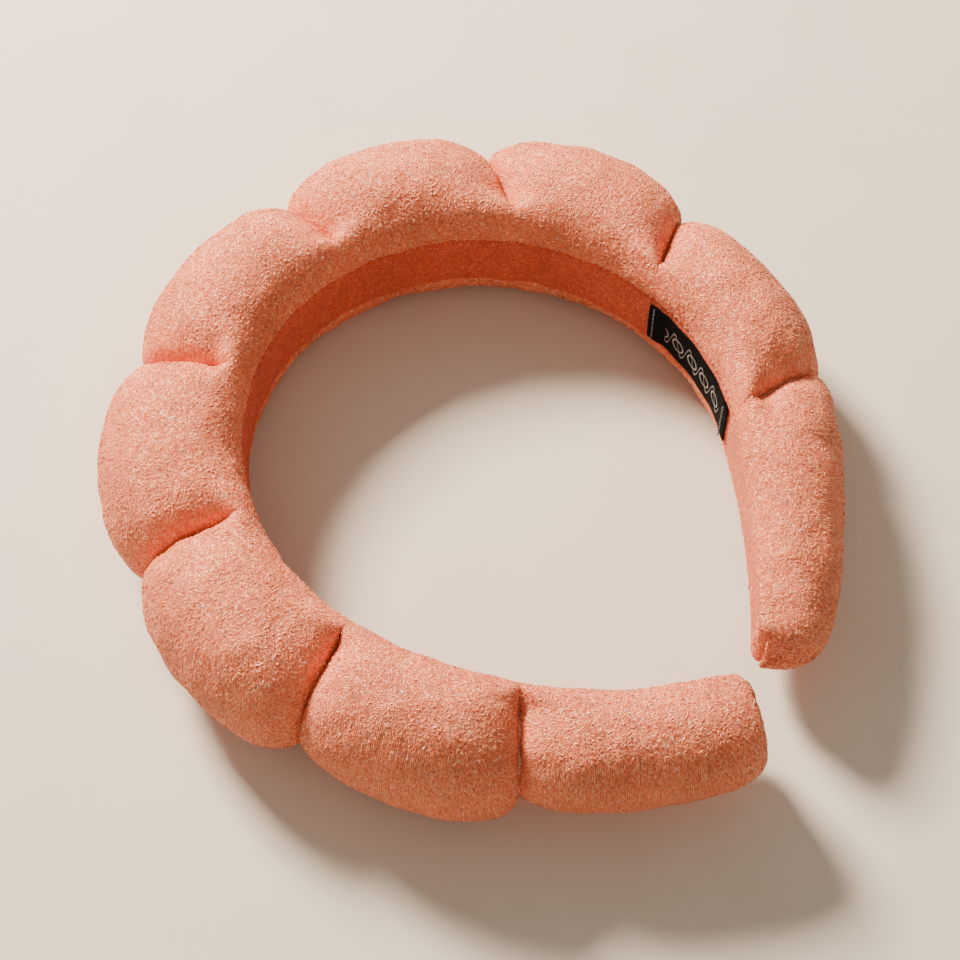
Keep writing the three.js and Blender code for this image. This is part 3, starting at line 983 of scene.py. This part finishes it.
def label_material():
    """Black tape with a plain woven row of rings crossed by a wave."""
    material, tree, surface = new_material("black woven tape")
    cloth = shade(tree, "ShaderNodeUVMap", {"uv_map": "cloth"}).outputs[0]
    flat = vector(tree, "SCALE", cloth, 1000.0)
    part = shade(tree, "ShaderNodeSeparateXYZ", None, Vector=flat)
    across, along = part.outputs[0], part.outputs[1]
    weft = maths(tree, "SINE", maths(tree, "MULTIPLY", along, 14.0))
    warp = maths(tree, "SINE", maths(tree, "MULTIPLY", across, 11.0))
    weave = maths(tree, "MULTIPLY_ADD", maths(tree, "MULTIPLY", weft, warp), 0.5, 0.5)
    pitch = 6.4
    cell = maths(tree, "SUBTRACT", maths(tree, "MODULO", along, pitch), pitch / 2)
    level = maths(tree, "SUBTRACT", across, LABEL_WIDTH / 2)
    round_ = maths(tree, "SQRT", maths(tree, "ADD", maths(tree, "POWER", cell, 2.0),
                                       maths(tree, "POWER", level, 2.0)))
    ring = maths(tree, "COMPARE", round_, 2.1, 0.26)
    phase = maths(tree, "MULTIPLY", along, math.tau / pitch)
    wave = maths(tree, "MULTIPLY", maths(tree, "SINE", phase), 3.6)
    line = maths(tree, "COMPARE", maths(tree, "SUBTRACT", level, wave), 0.0, 0.34)
    marks = maths(tree, "MAXIMUM", ring, line)
    inside = maths(tree, "MULTIPLY", maths(tree, "GREATER_THAN", along, 10.5),
                   maths(tree, "LESS_THAN", along, 38.5))
    marks = maths(tree, "MULTIPLY", marks, inside)
    marks = maths(tree, "MULTIPLY", marks, maths(tree, "MULTIPLY_ADD", weave, 0.5, 0.5))
    ground = ramp(tree, weave, [(0.1, (0.001, 0.001, 0.001)), (0.9, (0.004, 0.004, 0.004))])
    tree.links.new(mix_colour(tree, marks, ground, (0.36, 0.33, 0.30)), surface.inputs["Base Color"])
    bump = shade(tree, "ShaderNodeBump", None, Strength=0.7, Distance=0.12 * MM,
                 Height=maths(tree, "ADD", weave, maths(tree, "MULTIPLY", marks, 0.8)))
    tree.links.new(bump.outputs[0], surface.inputs["Normal"])
    surface.inputs["Roughness"].default_value = 0.7
    surface.inputs["Specular IOR Level"].default_value = 0.05
    return material


def foam_material():
    """Open-cell stuffing."""
    material, tree, surface = new_material("open foam")
    whole = shade(tree, "ShaderNodeTexCoord").outputs["Object"]
    cells = shade(tree, "ShaderNodeTexVoronoi", None, Vector=whole, Scale=900.0)
    tree.links.new(ramp(tree, cells.outputs["Distance"],
                        [(0.1, (0.62, 0.56, 0.44)), (0.6, (0.88, 0.83, 0.72))]),
                   surface.inputs["Base Color"])
    bump = shade(tree, "ShaderNodeBump", None, Strength=0.8, Distance=0.3 * MM,
                 Height=cells.outputs["Distance"])
    tree.links.new(bump.outputs[0], surface.inputs["Normal"])
    surface.inputs["Roughness"].default_value = 0.9
    return material


def hoop_material():
    """Springy plastic with faint moulding flow."""
    material, tree, surface = new_material("springy plastic")
    whole = shade(tree, "ShaderNodeTexCoord").outputs["Object"]
    flow = noise(tree, whole, 60.0, 3.0, flat=False).outputs[0]
    tree.links.new(ramp(tree, flow, [(0.3, (0.74, 0.71, 0.65)), (0.7, (0.82, 0.80, 0.75))]),
                   surface.inputs["Base Color"])
    tree.links.new(maths(tree, "MULTIPLY_ADD", flow, 0.2, 0.32), surface.inputs["Roughness"])
    return material


def dress_hidden(nodes, foam, hoop):
    """Materials for the CAD parts inside the velour."""
    for name, node in nodes.items():
        material = foam if name.startswith("foam_") else hoop if name.startswith("hoop_") else None
        if material:
            node.data.materials.clear()
            node.data.materials.append(material)


# ---- Stage -----------------------------------------------------------------------------------

def make_floor():
    size = 3.0
    mesh = bpy.data.meshes.new("table_top")
    mesh.from_pydata([(-size, -size, 0), (size, -size, 0), (size, size, 0), (-size, size, 0)], [],
                     [(0, 1, 2, 3)])
    material, tree, surface = new_material("pale table")
    whole = shade(tree, "ShaderNodeTexCoord").outputs["Object"]
    mottled = noise(tree, whole, 30.0, 3.0, flat=False).outputs[0]
    tree.links.new(ramp(tree, mottled, [(0.3, (0.655, 0.545, 0.415)), (0.7, (0.685, 0.575, 0.445))]),
                   surface.inputs["Base Color"])
    surface.inputs["Roughness"].default_value = 0.75
    floor = add_piece("table_top", mesh, material)
    floor.location.z = -0.0003


def aim(thing, position, target):
    thing.location = position
    thing.rotation_mode = "QUATERNION"
    thing.rotation_quaternion = (Vector(target) - Vector(position)).to_track_quat("-Z", "Y")


def make_light(name, power, size, colour, position):
    light = bpy.data.lights.new(name, "AREA")
    light.energy = power
    light.size = size
    light.color = colour
    thing = bpy.data.objects.new(name, light)
    bpy.context.scene.collection.objects.link(thing)
    aim(thing, position, (0, 0, 0.02))


def make_lights():
    make_light("window", 64.0, 0.3, (1.0, 0.92, 0.82), (0.28, 0.92, 0.76))
    make_light("fill", 2.0, 1.2, (1.0, 0.96, 0.92), (-0.7, -0.7, 1.1))
    world = bpy.data.worlds.new("room")
    world.use_nodes = True
    world.node_tree.nodes["Background"].inputs[0].default_value = (0.95, 0.9, 0.83, 1)
    world.node_tree.nodes["Background"].inputs[1].default_value = 0.46
    bpy.context.scene.world = world


def make_camera():
    elevation, azimuth = math.radians(58.8), math.radians(-55.0)
    distance = 0.5758
    target = Vector((0.0016, 0.0078, 0.025))
    back = Vector((math.cos(elevation) * math.sin(azimuth), -math.cos(elevation) * math.cos(azimuth),
                   math.sin(elevation)))
    right = Vector((math.cos(azimuth), math.sin(azimuth), 0))
    up = back.cross(right)
    camera = bpy.data.cameras.new("camera")
    camera.lens = 82.5
    camera.sensor_width = 36
    camera.clip_start = 0.01
    thing = bpy.data.objects.new("camera", camera)
    bpy.context.scene.collection.objects.link(thing)
    aim(thing, target + back * distance, target + right * 0.0017 - up * 0.0113)
    bpy.context.scene.camera = thing


# ---- Build -----------------------------------------------------------------------------------

SHIFT = (0.0, 0.0)
ARCS = lay_arcs()
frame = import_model()
SHIFT = frame_shift(frame["joints"])

pile = pile_group()
# coral velour: painted gap shade, body colour, painted tip highlight; the coral pile's brightest colour
# is partly painted glints
cover = velour("coral velour", pile, (0.8, 0.12, 0.04), (0.96, 0.2, 0.08), (1.0, 0.32, 0.16), 0.2, 0.3)
pile_material = strand_material("coral pile", (1.0, 0.20, 0.075), (1.0, 0.275, 0.115), (1.0, 0.37, 0.185),
                                (1.0, 0.60, 0.40))
# lining pile: its brightest colour is partly painted glints
lining_pile = strand_material("lining pile", (0.62, 0.06, 0.02), (0.78, 0.10, 0.035), (0.9, 0.16, 0.06),
                              (1.0, 0.36, 0.2))
# lining velour: painted gap shade, body colour, painted tip highlight
lining = velour("lining velour", pile, (0.48, 0.035, 0.012), (0.68, 0.075, 0.026), (0.85, 0.17, 0.07),
                0.2, 0.15)
thread = thread_material("coral thread", (0.62, 0.24, 0.13), (0.90, 0.52, 0.36))
label_thread = thread_material("grey thread", (0.03, 0.03, 0.03), (0.09, 0.09, 0.09))
tape = label_material()
dress_hidden(frame["nodes"], foam_material(), hoop_material())

for index in range(len(PUFFS)):
    make_puff(index, cover)
    make_lining(index, cover if index in (0, LAST) else lining)
    make_edge_stitches(index, thread)
for index in range(len(CREASES)):
    make_tie(index, thread)
make_label(tape)
make_label_stitches(-1, "label_stitch_near", label_thread)
make_label_stitches(1, "label_stitch_far", label_thread)

make_floor()
make_lights()
make_camera()
